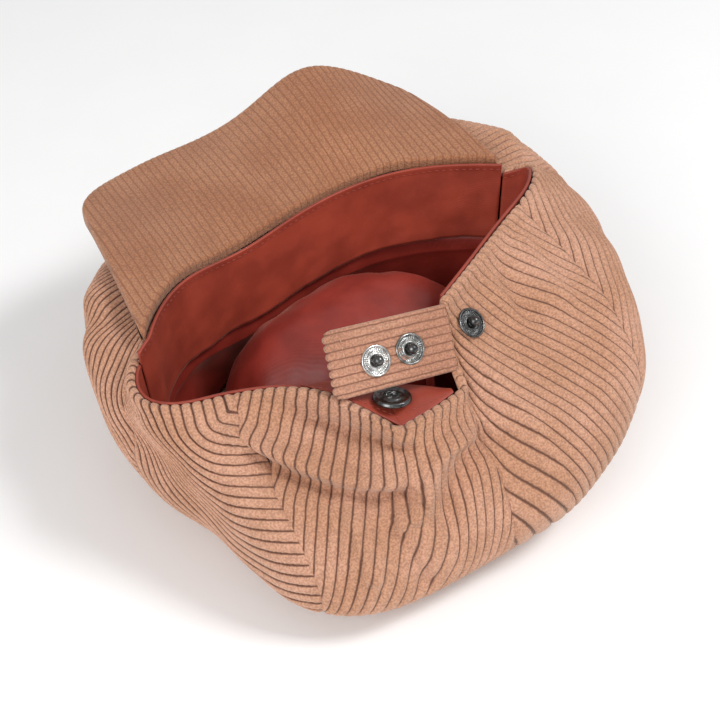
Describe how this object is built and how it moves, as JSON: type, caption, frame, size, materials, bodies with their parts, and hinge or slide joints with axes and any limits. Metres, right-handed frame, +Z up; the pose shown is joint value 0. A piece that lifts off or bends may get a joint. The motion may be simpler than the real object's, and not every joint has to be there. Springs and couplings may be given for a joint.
{
  "type": "newsboy cap",
  "caption": "Soft corduroy newsboy cap with panelled crown, stiff peak, satin lining and a snap adjuster tab at the back slit, lying upside down.",
  "frame": {"origin": "on the resting plane under the crown, at the middle of the cap's outline; the cap lies upside down on its crown", "axes": "+Z up, out of the head opening; -Y towards the front of the peak; +Y towards the back slit; +X to the cap's left as it lies"},
  "size_m": [0.2546, 0.2582, 0.1198],
  "materials": {
    "corduroy": "wide-wale cotton corduroy, camel",
    "satin_lining": "brick-red satin lining",
    "peak_board": "plain moulded peak board",
    "stud_metal": "nickel press studs",
    "gunmetal": "gunmetal plating",
    "button_metal": "plain button shell"
  },
  "bodies": {
    "cap": {"crown_panel_back_right": "corduroy", "crown_panel_right": "corduroy", "crown_panel_front_right": "corduroy", "crown_panel_front_centre_right": "corduroy", "crown_panel_front_centre_left": "corduroy", "crown_panel_front_left": "corduroy", "crown_panel_left": "corduroy", "crown_panel_back_left": "corduroy", "sweatband_right": "satin_lining", "sweatband_front": "satin_lining", "sweatband_left": "satin_lining", "lining_side": "satin_lining", "lining_tip": "satin_lining", "slit_facing": "satin_lining", "flank_stud": "stud_metal", "flank_rivet": "gunmetal", "snap_socket": "gunmetal", "socket_spring": "gunmetal", "socket_rivet": "gunmetal", "button_cover": "corduroy", "button_shell": "button_metal", "button_back": "button_metal"},
    "tab": {"tab_front": "corduroy", "tab_back": "corduroy", "tab_stud_outer": "stud_metal", "tab_rivet_outer": "gunmetal", "tab_stud_inner": "stud_metal", "tab_rivet_inner": "gunmetal"},
    "peak": {"peak_board": "peak_board", "peak_under_cover": "corduroy", "peak_top_cover": "corduroy"}
  },
  "joints": [
    {"name": "tab_swing", "type": "hinge", "parent": "cap", "child": "tab", "pos_m": [-0.00732, 0.06706, 0.09518], "axis": [-0.1206, -0.6201, 0.7752], "range_deg": [0, 100]},
    {"name": "peak_flex", "type": "hinge", "parent": "cap", "child": "peak", "pos_m": [0.00397, -0.03412, 0.088], "axis": [0.9933, 0.0993, -0.0596], "range_deg": [-6, 2.5]}
  ]
}
